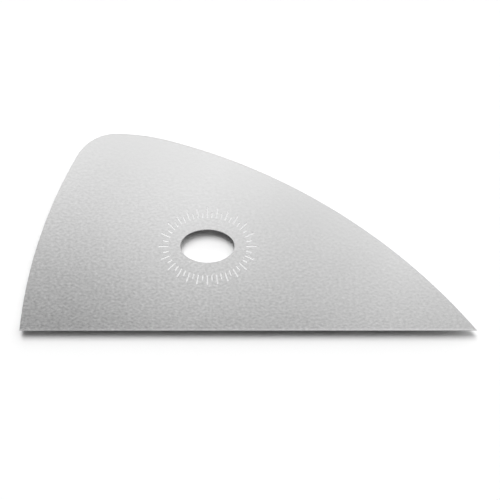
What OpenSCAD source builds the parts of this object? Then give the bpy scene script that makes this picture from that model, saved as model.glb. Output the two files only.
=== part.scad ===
// A potter's steel rib: one thin springy blade with an oval finger hole.
// It lies flat, with its straight edge to the front and its tip to the right.
// The origin is on the underside, at the middle of the length and of the width.
// All sizes are in millimetres.

/* [Blade] */
// Length of the straight edge, from the heel's corner to the tip
blade_l = 120; // [100:1:150]
// Width across the blade, from the straight edge to the crown
blade_w = 51.5; // [46:0.5:58]
// Thickness of the steel sheet
blade_t = 0.5; // [0.3:0.05:1.2]
// Width of the eased band along every edge, which the thickness limits
edge_ease = 0.2; // [0.05:0.01:0.4]

/* [Outline] */
// Distance of the crown from the heel's corner, along the straight edge
crown_x = 25.2; // [21:0.1:32]
// Radius of the heel edge, from its corner up to the bend
heel_r = 114; // [85:1:200]
// Radius of the tight bend that leads up to the crown
bend_r = 11.6; // [6:0.1:18]
// Radius of the shoulder, from the crown on
shoulder_r = 57; // [30:1:80]
// Radius of the long edge, from the shoulder down to the tip
long_r = 160; // [120:1:260]

/* [Finger hole] */
// Length of the oval hole, along the blade
hole_l = 14.1; // [8:0.1:24]
// Width of the oval hole, across the blade
hole_w = 8.6; // [6:0.1:20]
// Distance of the hole's middle from the heel's corner, along the straight edge
hole_x = 49.3; // [38:0.1:70]
// Distance of the hole's middle from the straight edge
hole_y = 22.1; // [15:0.1:30]

/* [Marks] */
// Number of plain marks engraved in a ring round the hole
mark_count = 48; // [0:1:60]
// Distance of the marks from the hole's edge
mark_gap = 3.2; // [1:0.1:5]
// Length of every second mark
mark_long = 2.6; // [1:0.1:4]
// Length of the marks between those
mark_short = 1.5; // [0.5:0.1:4]
// Width of a mark
mark_w = 0.35; // [0.1:0.05:0.5]
// Depth of a mark
mark_depth = 0.04; // [0.02:0.01:0.1]

/* [Hidden] */
$fn = 180;

// How far cutting shapes run past the face that they cut
past = 1;
// How far the flats along a round edge may stray from its true arc
arc_error = 0.01;
// The easing takes less than half of the thickness from each face
ease = min(edge_ease, 0.45 * blade_t);

// The outline's own coordinates start at the heel's corner
heel_corner = [0, 0];
tip = [blade_l, 0];
bend_c = [crown_x, blade_w - bend_r];
shoulder_c = [crown_x, blade_w - shoulder_r];

// Centre of the circle of radius r that passes through the point p and runs smoothly
// into the smaller circle of radius s about c; side 1 or -1 picks one of the two answers
function smooth_centre(p, r, c, s, side) =
    let (
        d = norm(c - p),
        u = (c - p) / d,
        run = (r ^ 2 - (r - s) ^ 2 + d ^ 2) / (2 * d)
    )
    p + run * u + side * sqrt(r ^ 2 - run ^ 2) * [-u.y, u.x];

heel_c = smooth_centre(heel_corner, heel_r, bend_c, bend_r, -1);
long_c = smooth_centre(tip, long_r, shoulder_c, shoulder_r, 1);

// Direction of the point q seen from the point p, in degrees
function bearing(p, q) = atan2(q.y - p.y, q.x - p.x);

// Directions, from the arcs' centres, in which the outline passes from arc to arc
long_from_tip = bearing(long_c, tip);
long_to_shoulder = bearing(long_c, shoulder_c);
shoulder_to_bend = 90;
bend_to_heel = bearing(heel_c, bend_c);
heel_to_corner = bearing(heel_c, heel_corner);

// Number of flats that an arc needs
function flats(r, sweep) = ceil(sweep / (2 * acos(1 - arc_error / r)));

// Points along an arc, drawn in from the outline, but for its first point, which the
// arc or corner before it gives, and for the last ones that leave_off counts
function arc(centre, r, inset, from, to, leave_off) =
    let (count = flats(r, to - from))
    [for (i = [1 : 1 : count - leave_off]) let (a = from + (to - from) * i / count)
        centre + (r - inset) * [cos(a), sin(a)]];

// Where an arc, drawn in, meets the straight edge, drawn in as far; side 1 or -1
// picks the right or the left end
function corner(centre, r, inset, side) =
    [centre.x + side * sqrt((r - inset) ^ 2 - (inset - centre.y) ^ 2), inset];

// The blade's outline, drawn in by the same distance all round
function outline(inset) = concat(
    [corner(long_c, long_r, inset, 1)],
    arc(long_c, long_r, inset, long_from_tip, long_to_shoulder, 0),
    arc(shoulder_c, shoulder_r, inset, long_to_shoulder, shoulder_to_bend, 0),
    arc(bend_c, bend_r, inset, shoulder_to_bend, bend_to_heel, 0),
    arc(heel_c, heel_r, inset, bend_to_heel, heel_to_corner, 1),
    [corner(heel_c, heel_r, inset, -1)]
);

// Point on the hole's oval at the parameter a, and the direction straight out from it
function oval(a) = [hole_l / 2 * cos(a), hole_w / 2 * sin(a)];
function oval_out(a) = atan2(hole_l * sin(a), hole_w * cos(a));

// A flat layer of the blade, drawn in from the outline
module layer(inset, from, to) {
    translate([0, 0, from])
        linear_extrude(to - from)
            polygon(outline(inset));
}

// The blank, whose edges are eased evenly all round
module blank() {
    hull() {
        layer(ease, 0, blade_t);
        layer(0, ease, blade_t - ease);
    }
}

// The oval hole, which widens at both faces by its own easing
module finger_hole() {
    r = hole_l / 2;
    translate([hole_x, hole_y, 0])
        scale([1, hole_w / hole_l, 1])
            rotate_extrude()
                polygon([
                    [0, -past],
                    [r + ease + past, -past],
                    [r, ease],
                    [r, blade_t - ease],
                    [r + ease + past, blade_t + past],
                    [0, blade_t + past]
                ]);
}

// A ring of plain marks, long and short in turn, that point away from the hole
module marks() {
    for (i = [0 : 1 : mark_count - 1]) {
        a = 360 * i / mark_count;
        length = i % 2 == 0 ? mark_long : mark_short;
        translate([hole_x, hole_y, blade_t - mark_depth])
            translate(oval(a))
                rotate([0, 0, oval_out(a)])
                    translate([mark_gap, -mark_w / 2, 0])
                        cube([length, mark_w, mark_depth + past]);
    }
}

module rib_blade() {
    color("silver")
        translate([-blade_l / 2, -blade_w / 2, 0])
            difference() {
                blank();
                finger_hole();
                marks();
            }
}

rib_blade();
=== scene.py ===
"""A potter's steel rib, seen from straight above on a pale floor.

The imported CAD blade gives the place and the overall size. The blade is rebuilt here with
round edges, a round-edged oval hole and engraved marks, in a satin rolled steel finish.
All lengths are in metres.
"""

import math

import bmesh
import bpy
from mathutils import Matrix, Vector


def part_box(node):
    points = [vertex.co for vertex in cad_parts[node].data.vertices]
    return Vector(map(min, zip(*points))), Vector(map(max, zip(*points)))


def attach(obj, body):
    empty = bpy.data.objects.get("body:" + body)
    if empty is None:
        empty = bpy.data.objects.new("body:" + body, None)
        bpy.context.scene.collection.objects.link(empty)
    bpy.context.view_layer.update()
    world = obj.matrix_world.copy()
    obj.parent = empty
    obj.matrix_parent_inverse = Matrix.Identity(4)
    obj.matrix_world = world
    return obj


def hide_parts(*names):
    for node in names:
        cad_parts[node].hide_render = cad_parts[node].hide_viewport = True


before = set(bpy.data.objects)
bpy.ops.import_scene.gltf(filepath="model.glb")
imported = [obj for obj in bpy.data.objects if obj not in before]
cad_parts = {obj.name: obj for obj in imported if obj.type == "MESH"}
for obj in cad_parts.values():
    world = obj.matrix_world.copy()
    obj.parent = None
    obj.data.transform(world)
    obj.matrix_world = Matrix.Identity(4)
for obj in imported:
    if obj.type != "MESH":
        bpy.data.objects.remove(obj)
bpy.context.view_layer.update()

MM = 0.001

# The blade's place and overall size, from the frame
LOW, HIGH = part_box("rib_blade")
LENGTH = HIGH[0] - LOW[0]
WIDTH = HIGH[1] - LOW[1]
THICKNESS = HIGH[2] - LOW[2]

# The blade's outline, measured from the heel's corner, and its round edges
CROWN_X = 25.2 * MM
HEEL_R = 114 * MM
BEND_R = 11.6 * MM
SHOULDER_R = 57 * MM
LONG_R = 160 * MM
ARC_ERROR = 0.002 * MM
EDGE_ROUND = 0.12 * MM
EDGE_STEPS = 5

# The oval hole
HOLE_L = 14.1 * MM
HOLE_W = 8.6 * MM
HOLE_X = 49.3 * MM
HOLE_Y = 22.1 * MM
HOLE_STEPS = 144

# The engraved marks round the hole; MARK_FLOOR is the share of a mark's width that its floor has
MARK_COUNT = 48
MARK_GAP = 3.2 * MM
MARK_LONG = 2.6 * MM
MARK_SHORT = 1.5 * MM
MARK_W = 0.35 * MM
MARK_DEPTH = 0.04 * MM
MARK_END_STEPS = 8
MARK_FLOOR = 0.75

# The blade's material slots, in their order
STEEL, RIM, MARK = range(3)

# The photograph's frame: where its centre lies, and how wide it is at the blade
VIEW_CENTRE = (0.45 * MM, -4.64 * MM)
VIEW_WIDTH = 130.88 * MM
LENS = 90

# The floor lies below the blade, which a small hidden pad holds up
FLOOR_DROP = 1.9 * MM
FLOOR_SIZE = 8
FLOOR_TONE = 0.99
FLOOR_ROUGHNESS = 0.9
PAD_R = 5 * MM
PAD_PLACE = (15 * MM, -12 * MM)
PAD_SIDES = 64

# The steel's patterns: how many to a metre, and how much closer they lie along each axis
SPECKLE_PACE = 1900
CLOUD_PACE = 330
SPECKLE_SCALE = (0.6, 1, 1)
DRIFT_PACE = 70
RELIEF_PACE = 1400
RELIEF_SCALE = (1.3, 1, 1)
RELIEF_HEIGHT = 0.006 * MM
# The steel's tone, what the clouds and the drift add to it or take from it, and its roughness
STEEL_TONE = 0.758
CLOUD_TONE = 0.02
DRIFT_TONE = 0.02
STEEL_ROUGHNESS = (0.19, 0.25)
# The steel is speckled most at the heel's corner, and not at all at the back: how strongly,
# how far out, and how much of its distance to the right counts
SPECK = (0.3, 0)
SPECK_REACH = (-44 * MM, 15 * MM)
SPECK_ASIDE = 0.3
# The sheet is slightly wavy, and its shade and light are painted into the steel's colour as broad
# bands,
# lighter and darker: each wave's length, direction and phase, and the tone that it adds
PAINTED_WAVE_SHADES = [
    (57 * MM, math.radians(-16), math.radians(82), 0.031),
    (60 * MM, math.radians(54), math.radians(106), 0.025),
]
# A painted highlight along the front edge: the steel's colour is lighter there, most of all up to
# one distance and not beyond another
PAINTED_EDGE_HIGHLIGHT = 0.18
HIGHLIGHT_NEAR = 0.3 * MM
HIGHLIGHT_FAR = 0.6 * MM

# The rims' finish, and the scratches in it
RIM_TONE = (0.55, 0.72)
RIM_ROUGHNESS = (0.32, 0.42)
SCRATCH_PACE = 4000
SCRATCH_SCALE = (0.5, 0.5, 4)
SCRATCH_HEIGHT = 0.003 * MM

# The marks' finish, and the frost in it
MARK_TONE = (0.73, 0.85)
MARK_ROUGHNESS = (0.55, 0.75)
FROST_PACE = 6000
FROST_HEIGHT = 0.005 * MM

# The lamps: each one's azimuth from the back, clockwise as seen from above, its elevation and
# spread, and the share of white that it gives to a white floor
LAMPS = {
    "key": (math.radians(-8), math.radians(47), math.radians(27), 0.523),
    "fill": (math.radians(19), math.radians(38), math.radians(68), 0.442),
}
# The even light that the surroundings give to everything dull
FILL = 0.09

# What the metal mirrors, by how far a direction leans back, which is measured along a line
# that turns a little to the right: a pale front, a dim strip, a ceiling that is brightest
# near straight up, and a white back. Each fade gives the leans between which one light
# passes into the next.
CEILING_TURN = math.radians(10.8)
FRONT_LIGHT = 0.8
FRONT_FADE = (-0.7, -0.3)
DIM_STRIP = 0.12
CEILING_LIGHT = 1.58
CEILING_FADE = (-0.213, 0.115)
BACK_LIGHT = 0.95
BACK_FADE = (0.25, 0.6)
# The metal mirrors white walls too, which fade between two heights of a direction
WALL_LIGHT = 0.95
WALL_FADE = (0.4, 0.9)


def smooth_centre(p, r, c, s, side):
    """Centre of the circle of radius r through p that runs into the circle of radius s about c."""
    d = (c - p).length
    u = (c - p) / d
    run = (r**2 - (r - s) ** 2 + d**2) / (2 * d)
    return p + run * u + side * math.sqrt(r**2 - run**2) * Vector((-u.y, u.x))


def bearing(p, q):
    """Direction of q seen from p, in radians."""
    return math.atan2(q.y - p.y, q.x - p.x)


def turned(a):
    """Unit vector in the direction a."""
    return Vector((math.cos(a), math.sin(a)))


def neighbours(count):
    """Pairs of numbers of neighbours, all the way round a closed ring."""
    return [(i, (i + 1) % count) for i in range(count)]


class Outline:
    """The blade's outline: its points, drawn in by any distance, and its normals.

    Each point has the normal of the edge before it and that of the edge after it, which
    differ only at the two corners.
    """

    def __init__(self):
        heel_corner = Vector((0, 0))
        tip = Vector((LENGTH, 0))
        bend_c = Vector((CROWN_X, WIDTH - BEND_R))
        shoulder_c = Vector((CROWN_X, WIDTH - SHOULDER_R))
        self.heel_c = smooth_centre(heel_corner, HEEL_R, bend_c, BEND_R, -1)
        self.long_c = smooth_centre(tip, LONG_R, shoulder_c, SHOULDER_R, 1)
        crown = math.pi / 2
        to_shoulder = bearing(self.long_c, shoulder_c)
        to_heel = bearing(self.heel_c, bend_c)
        self.arcs = [
            (self.long_c, LONG_R, bearing(self.long_c, tip), to_shoulder),
            (shoulder_c, SHOULDER_R, to_shoulder, crown),
            (bend_c, BEND_R, crown, to_heel),
            (self.heel_c, HEEL_R, to_heel, bearing(self.heel_c, heel_corner)),
        ]
        self.origin = Vector((LOW[0], LOW[1]))

    def turns(self):
        """Centre, radius and direction of every point along the arcs, but for the first one."""
        for centre, r, start, end in self.arcs:
            count = math.ceil((end - start) / (2 * math.acos(1 - ARC_ERROR / r)))
            for i in range(1, count + 1):
                yield centre, r, start + (end - start) * i / count

    def corner(self, centre, r, inset, side):
        """Where an arc meets the straight edge, both drawn in alike."""
        reach = math.sqrt((r - inset) ** 2 - (inset - centre.y) ** 2)
        return Vector((centre.x + side * reach, inset))

    def points(self, inset):
        """The outline's points, counter-clockwise from the tip."""
        tip = self.corner(self.long_c, LONG_R, inset, 1)
        heel = self.corner(self.heel_c, HEEL_R, inset, -1)
        rounds = [centre + (r - inset) * turned(a) for centre, r, a in self.turns()]
        return [self.origin + p for p in [tip, *rounds[:-1], heel]]

    def normals(self):
        """Pairs of normals, before and after each of the points."""
        ahead = Vector((0, -1))
        rounds = [turned(a) for _, _, a in self.turns()]
        at_tip = turned(self.arcs[0][2])
        return [(ahead, at_tip), *[(n, n) for n in rounds[:-1]], (rounds[-1], ahead)]


class Oval:
    """The finger hole's edge: its points, drawn outwards by any distance, and its normals."""

    centre = Vector((LOW[0] + HOLE_X, LOW[1] + HOLE_Y))

    def point(self, a, outset):
        """The point at the parameter a, in radians."""
        on_edge = Vector((HOLE_L / 2 * math.cos(a), HOLE_W / 2 * math.sin(a)))
        return self.centre + on_edge + outset * self.out(a)

    def out(self, a):
        """Direction straight out from the hole's edge."""
        return Vector((HOLE_W * math.cos(a), HOLE_L * math.sin(a))).normalized()

    def points(self, outset):
        return [self.point(math.tau * i / HOLE_STEPS, outset) for i in range(HOLE_STEPS)]

    def normals(self):
        """Pairs of like normals, which point into the hole."""
        inward = [-self.out(math.tau * i / HOLE_STEPS) for i in range(HOLE_STEPS)]
        return [(n, n) for n in inward]


def edge_profile():
    """A round edge from the top face to the underside: drawn in, height, and normal's slope."""
    upper = []
    for i in range(EDGE_STEPS + 1):
        a = math.pi / 2 * i / EDGE_STEPS
        inset = EDGE_ROUND * (1 - math.sin(a))
        height = THICKNESS - EDGE_ROUND * (1 - math.cos(a))
        upper.append((inset, height, math.pi / 2 - a))
    lower = [(inset, THICKNESS - height, -slope) for inset, height, slope in reversed(upper)]
    return upper + lower


def sloped(side, slope):
    """A level normal, tilted up by the slope."""
    return Vector((*(side * math.cos(slope)), math.sin(slope)))


class BladeMesh:
    """Collects the blade's faces, with a material and a normal for each of their corners."""

    def __init__(self):
        self.bm = bmesh.new()
        self.normal_of = {}

    def ring(self, points, height):
        """New points at a height above the underside."""
        return [self.bm.verts.new((p.x, p.y, LOW[2] + height)) for p in points]

    def face(self, verts, normals, material):
        f = self.bm.faces.new(verts)
        f.material_index = material
        f.smooth = True
        for loop, normal in zip(f.loops, normals):
            self.normal_of[(f, loop.vert)] = normal

    def edge_band(self, curve, outwards):
        """A round edge along a closed curve; returns its rings on the top and on the underside."""
        profile = edge_profile()
        rings = [self.ring(curve.points(inset), height) for inset, height, _ in profile]
        sides = curve.normals()
        for row in range(len(profile) - 1):
            upper, lower = rings[row], rings[row + 1]
            for i, j in neighbours(len(sides)):
                corners = [
                    (upper[i], sides[i][1], row),
                    (lower[i], sides[i][1], row + 1),
                    (lower[j], sides[j][0], row + 1),
                    (upper[j], sides[j][0], row),
                ]
                if not outwards:
                    corners.reverse()
                verts = [v for v, _, _ in corners]
                normals = [sloped(side, profile[k][2]) for _, side, k in corners]
                self.face(verts, normals, RIM)
        return rings[0], rings[-1]

    def groove(self, points_at):
        """One engraved mark; points_at gives its outline at a share of its width."""
        top = self.ring(points_at(1), THICKNESS)
        floor = self.ring(points_at(MARK_FLOOR), THICKNESS - MARK_DEPTH)
        for i, j in neighbours(len(top)):
            wall = [top[i], top[j], floor[j], floor[i]]
            normal = (top[j].co - top[i].co).cross(floor[i].co - top[i].co).normalized()
            self.face(wall, [normal] * 4, MARK)
        self.face(floor, [Vector((0, 0, 1))] * len(floor), MARK)
        return top

    def fill(self, rings, up):
        """A flat face between closed rings of points; up is 1 on the top, -1 on the underside."""
        edges = []
        for ring in rings:
            for i, j in neighbours(len(ring)):
                edges.append(self.bm.edges.get((ring[i], ring[j])))
        made = bmesh.ops.triangle_fill(
            self.bm, use_beauty=True, use_dissolve=False, edges=edges, normal=(0, 0, up)
        )
        for f in made["geom"]:
            if isinstance(f, bmesh.types.BMFace):
                f.normal_update()
                if f.normal.z * up < 0:
                    f.normal_flip()
                f.material_index = STEEL
                f.smooth = True
                for loop in f.loops:
                    self.normal_of[(f, loop.vert)] = Vector((0, 0, up))

    def finish(self, name, materials):
        """The finished object, with its normals set one by one so that flats stay flat."""
        normals = [self.normal_of[(f, loop.vert)][:] for f in self.bm.faces for loop in f.loops]
        mesh = bpy.data.meshes.new(name)
        self.bm.to_mesh(mesh)
        self.bm.free()
        for material in materials:
            mesh.materials.append(material)
        mesh.normals_split_custom_set(normals)
        piece = bpy.data.objects.new(name, mesh)
        bpy.context.scene.collection.objects.link(piece)
        return piece


def mark_outline(oval, a, length):
    """A mark with round ends that points away from the hole, as a function of its width's share."""
    out = oval.out(a)
    across = Vector((-out.y, out.x))

    def points_at(share):
        half = MARK_W / 2 * share
        near = MARK_GAP + MARK_W / 2
        far = MARK_GAP + length - MARK_W / 2
        points = []
        for end, start in ((far, -math.pi / 2), (near, math.pi / 2)):
            for i in range(MARK_END_STEPS + 1):
                turn = start + math.pi * i / MARK_END_STEPS
                along = end + half * math.cos(turn)
                points.append(oval.point(a, along) + across * half * math.sin(turn))
        return points

    return points_at


def make_blade(materials):
    """The blade: its round edges, the marks, long and short in turn, and the two flat faces."""
    blade = BladeMesh()
    oval = Oval()
    outer_top, outer_under = blade.edge_band(Outline(), True)
    hole_top, hole_under = blade.edge_band(oval, False)
    marks = []
    for i in range(MARK_COUNT):
        length = MARK_LONG if i % 2 == 0 else MARK_SHORT
        a = math.tau * i / MARK_COUNT
        marks.append(blade.groove(mark_outline(oval, a, length)))
    blade.fill([outer_top, hole_top, *marks], 1)
    blade.fill([outer_under, hole_under], -1)
    return blade.finish("blade", materials)


class Nodes:
    """A node tree, with short ways to add and join nodes."""

    def __init__(self, tree):
        self.tree = tree
        self.tree.nodes.clear()

    def add(self, kind, inputs=None, **settings):
        """A new node; each of its inputs is joined to a socket or set to a value."""
        node = self.tree.nodes.new(kind)
        for key, value in settings.items():
            setattr(node, key, value)
        for key, value in (inputs or {}).items():
            if isinstance(value, bpy.types.NodeSocket):
                self.tree.links.new(value, node.inputs[key])
            else:
                node.inputs[key].default_value = value
        return node

    def place(self):
        """Object coordinates, in metres."""
        return self.add("ShaderNodeTexCoord").outputs["Object"]

    def scaled(self, scale):
        """Object coordinates, times a scale along each axis."""
        mapping = {"Vector": self.place(), "Scale": scale}
        return self.add("ShaderNodeMapping", mapping).outputs["Vector"]

    def noise(self, place, pace, detail):
        """A cloudy pattern between 0 and 1, with so many clouds to a metre."""
        sizes = {"Vector": place, "Scale": pace, "Detail": detail}
        return self.add("ShaderNodeTexNoise", sizes).outputs["Fac"]

    def wave(self, place, length, direction, phase, strength):
        """An even wave across the plane of X and Y."""
        pace = math.tau / length
        along = (pace * math.cos(direction), pace * math.sin(direction), 0)
        angle = self.math("ADD", self.dot(place, along), phase)
        return self.math("MULTIPLY", self.math("COSINE", angle), strength)

    def span(self, value, low, high, from_low=0.0, from_high=1.0, curve="LINEAR"):
        """Maps a value from one range to another, and no further."""
        limits = {
            "Value": value,
            "From Min": from_low,
            "From Max": from_high,
            "To Min": low,
            "To Max": high,
        }
        return self.add("ShaderNodeMapRange", limits, interpolation_type=curve).outputs["Result"]

    def fade(self, value, low, high, limits):
        """Passes smoothly from low to high as a value passes from one limit to the other."""
        return self.span(value, low, high, *limits, curve="SMOOTHSTEP")

    def math(self, operation, *values):
        return self.add("ShaderNodeMath", dict(enumerate(values)), operation=operation).outputs[0]

    def dot(self, a, b):
        node = self.add("ShaderNodeVectorMath", {0: a, 1: b}, operation="DOT_PRODUCT")
        return node.outputs["Value"]

    def axes(self, place):
        return self.add("ShaderNodeSeparateXYZ", {"Vector": place}).outputs

    def mix(self, share, a, b):
        sockets = {"Factor": share, "A": a, "B": b}
        return self.add("ShaderNodeMix", sockets).outputs["Result"]

    def grey(self, value):
        made = self.add("ShaderNodeCombineColor", {"Red": value, "Green": value, "Blue": value})
        return made.outputs["Color"]

    def bump(self, pattern, distance, strength):
        inputs = {"Height": pattern, "Strength": strength, "Distance": distance}
        return self.add("ShaderNodeBump", inputs).outputs["Normal"]

    def principled(self, inputs):
        shader = self.add("ShaderNodeBsdfPrincipled", inputs)
        self.add("ShaderNodeOutputMaterial", {"Surface": shader.outputs["BSDF"]})


def new_material(name):
    material = bpy.data.materials.new(name)
    material.use_nodes = True
    return material, Nodes(material.node_tree)


def satin_steel():
    """Rolled stainless steel: speckle and relief, clouds, painted shade and light in broad bands,
    and a painted highlight along the front edge.
    """
    material, nodes = new_material("satin_steel")
    place = nodes.place()
    axes = nodes.axes(place)
    along = nodes.scaled(SPECKLE_SCALE)
    speckle = nodes.noise(along, SPECKLE_PACE, detail=1)
    clouds = nodes.noise(along, CLOUD_PACE, detail=2)
    drift = nodes.noise(place, DRIFT_PACE, detail=2)
    relief = nodes.noise(nodes.scaled(RELIEF_SCALE), RELIEF_PACE, detail=1)
    from_corner = nodes.math("ADD", axes["Y"], nodes.math("MULTIPLY", axes["X"], SPECK_ASIDE))
    strength = nodes.span(from_corner, *SPECK, *SPECK_REACH)
    shades = [
        nodes.math("MULTIPLY", nodes.span(speckle, -1, 1), strength),
        nodes.span(clouds, -CLOUD_TONE, CLOUD_TONE),
        nodes.span(drift, -DRIFT_TONE, DRIFT_TONE),
        # painted highlight: the steel's colour is lighter along the front edge
        nodes.span(axes["Y"], PAINTED_EDGE_HIGHLIGHT, 0, LOW[1] + HIGHLIGHT_NEAR, LOW[1] + HIGHLIGHT_FAR),
        # painted shade and light in broad bands, for the sheet's waviness
        *[nodes.wave(place, *wave) for wave in PAINTED_WAVE_SHADES],
    ]
    tone = STEEL_TONE
    for shade in shades:
        tone = nodes.math("ADD", tone, shade)
    nodes.principled(
        {
            "Base Color": nodes.grey(nodes.math("MINIMUM", tone, 1)),
            "Metallic": 1.0,
            "Roughness": nodes.span(clouds, *STEEL_ROUGHNESS),
            "Normal": nodes.bump(relief, RELIEF_HEIGHT, strength=1.0),
        }
    )
    return material


def ground_steel():
    """The rubbed rims, with fine scratches."""
    material, nodes = new_material("ground_steel")
    scratches = nodes.noise(nodes.scaled(SCRATCH_SCALE), SCRATCH_PACE, detail=2)
    nodes.principled(
        {
            "Base Color": nodes.grey(nodes.span(scratches, *RIM_TONE)),
            "Metallic": 1.0,
            "Roughness": nodes.span(scratches, *RIM_ROUGHNESS),
            "Normal": nodes.bump(scratches, SCRATCH_HEIGHT, strength=0.5),
        }
    )
    return material


def etched_steel():
    """The marks: frosted, so that they look light from every side."""
    material, nodes = new_material("etched_steel")
    frost = nodes.noise(nodes.place(), FROST_PACE, detail=2)
    nodes.principled(
        {
            "Base Color": nodes.grey(nodes.span(frost, *MARK_TONE)),
            "Roughness": nodes.span(frost, *MARK_ROUGHNESS),
            "Normal": nodes.bump(frost, FROST_HEIGHT, strength=0.5),
        }
    )
    return material


def pale_floor():
    """The floor's plain dull finish."""
    material, nodes = new_material("pale_floor")
    nodes.principled(
        {
            "Base Color": (FLOOR_TONE, FLOOR_TONE, FLOOR_TONE, 1),
            "Roughness": FLOOR_ROUGHNESS,
            "Specular IOR Level": 0.0,
        }
    )
    return material


def make_stage():
    """The floor, and the small pad under the blade."""
    z = LOW[2] - FLOOR_DROP
    bpy.ops.mesh.primitive_plane_add(size=FLOOR_SIZE, location=(0, 0, z))
    floor = bpy.context.object
    floor.name = "floor"
    bpy.ops.mesh.primitive_cylinder_add(
        vertices=PAD_SIDES,
        radius=PAD_R,
        depth=FLOOR_DROP,
        location=(*PAD_PLACE, z + FLOOR_DROP / 2),
    )
    pad = bpy.context.object
    pad.name = "pad"
    pale = pale_floor()
    for thing in (floor, pad):
        thing.data.materials.append(pale)


def make_camera():
    """Straight above, with the blade's tip to the right."""
    camera = bpy.data.cameras.new("camera")
    camera.lens = LENS
    eye = bpy.data.objects.new("camera", camera)
    height = VIEW_WIDTH * LENS / camera.sensor_width
    eye.location = (*VIEW_CENTRE, HIGH[2] + height)
    bpy.context.scene.collection.objects.link(eye)
    bpy.context.scene.camera = eye


def make_sun(name, azimuth, elevation, spread, level):
    """A soft light, which the metal doesn't mirror."""
    lamp = bpy.data.lights.new(name, "SUN")
    lamp.energy = level * math.pi / math.sin(elevation)
    lamp.angle = spread
    light = bpy.data.objects.new(name, lamp)
    ahead = math.cos(elevation)
    towards = Vector((math.sin(azimuth) * ahead, math.cos(azimuth) * ahead, math.sin(elevation)))
    light.rotation_mode = "QUATERNION"
    light.rotation_quaternion = towards.to_track_quat("Z", "Y")
    light.visible_glossy = False
    bpy.context.scene.collection.objects.link(light)


def make_world():
    """The studio: white to the camera, an even fill for the floor, and what the metal mirrors."""
    world = bpy.data.worlds.new("studio")
    bpy.context.scene.world = world
    world.use_nodes = True
    nodes = Nodes(world.node_tree)
    rays = nodes.add("ShaderNodeLightPath").outputs
    towards = nodes.add("ShaderNodeTexCoord").outputs["Generated"]
    lean = nodes.dot(towards, (math.sin(CEILING_TURN), math.cos(CEILING_TURN), 0))
    front = nodes.fade(lean, FRONT_LIGHT, 0, FRONT_FADE)
    rise = nodes.fade(lean, 0, CEILING_LIGHT, CEILING_FADE)
    fall = nodes.fade(lean, CEILING_LIGHT, BACK_LIGHT, BACK_FADE)
    ceiling = nodes.math("MINIMUM", rise, fall)
    walls = nodes.fade(nodes.axes(towards)["Z"], WALL_LIGHT, 0, WALL_FADE)
    mirrored = DIM_STRIP
    for light in (front, ceiling, walls):
        mirrored = nodes.math("MAXIMUM", mirrored, light)
    shiny = nodes.math("MAXIMUM", rays["Is Glossy Ray"], rays["Is Transmission Ray"])
    level = nodes.mix(shiny, FILL, mirrored)
    level = nodes.mix(rays["Is Camera Ray"], level, 1.0)
    background = nodes.add("ShaderNodeBackground", {"Strength": level})
    nodes.add("ShaderNodeOutputWorld", {"Surface": background.outputs["Background"]})


bpy.context.scene.view_settings.view_transform = "Standard"
make_camera()
make_stage()
make_world()
for name, lamp in LAMPS.items():
    make_sun(name, *lamp)

blade = make_blade([satin_steel(), ground_steel(), etched_steel()])
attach(blade, "root")
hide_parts("rib_blade")
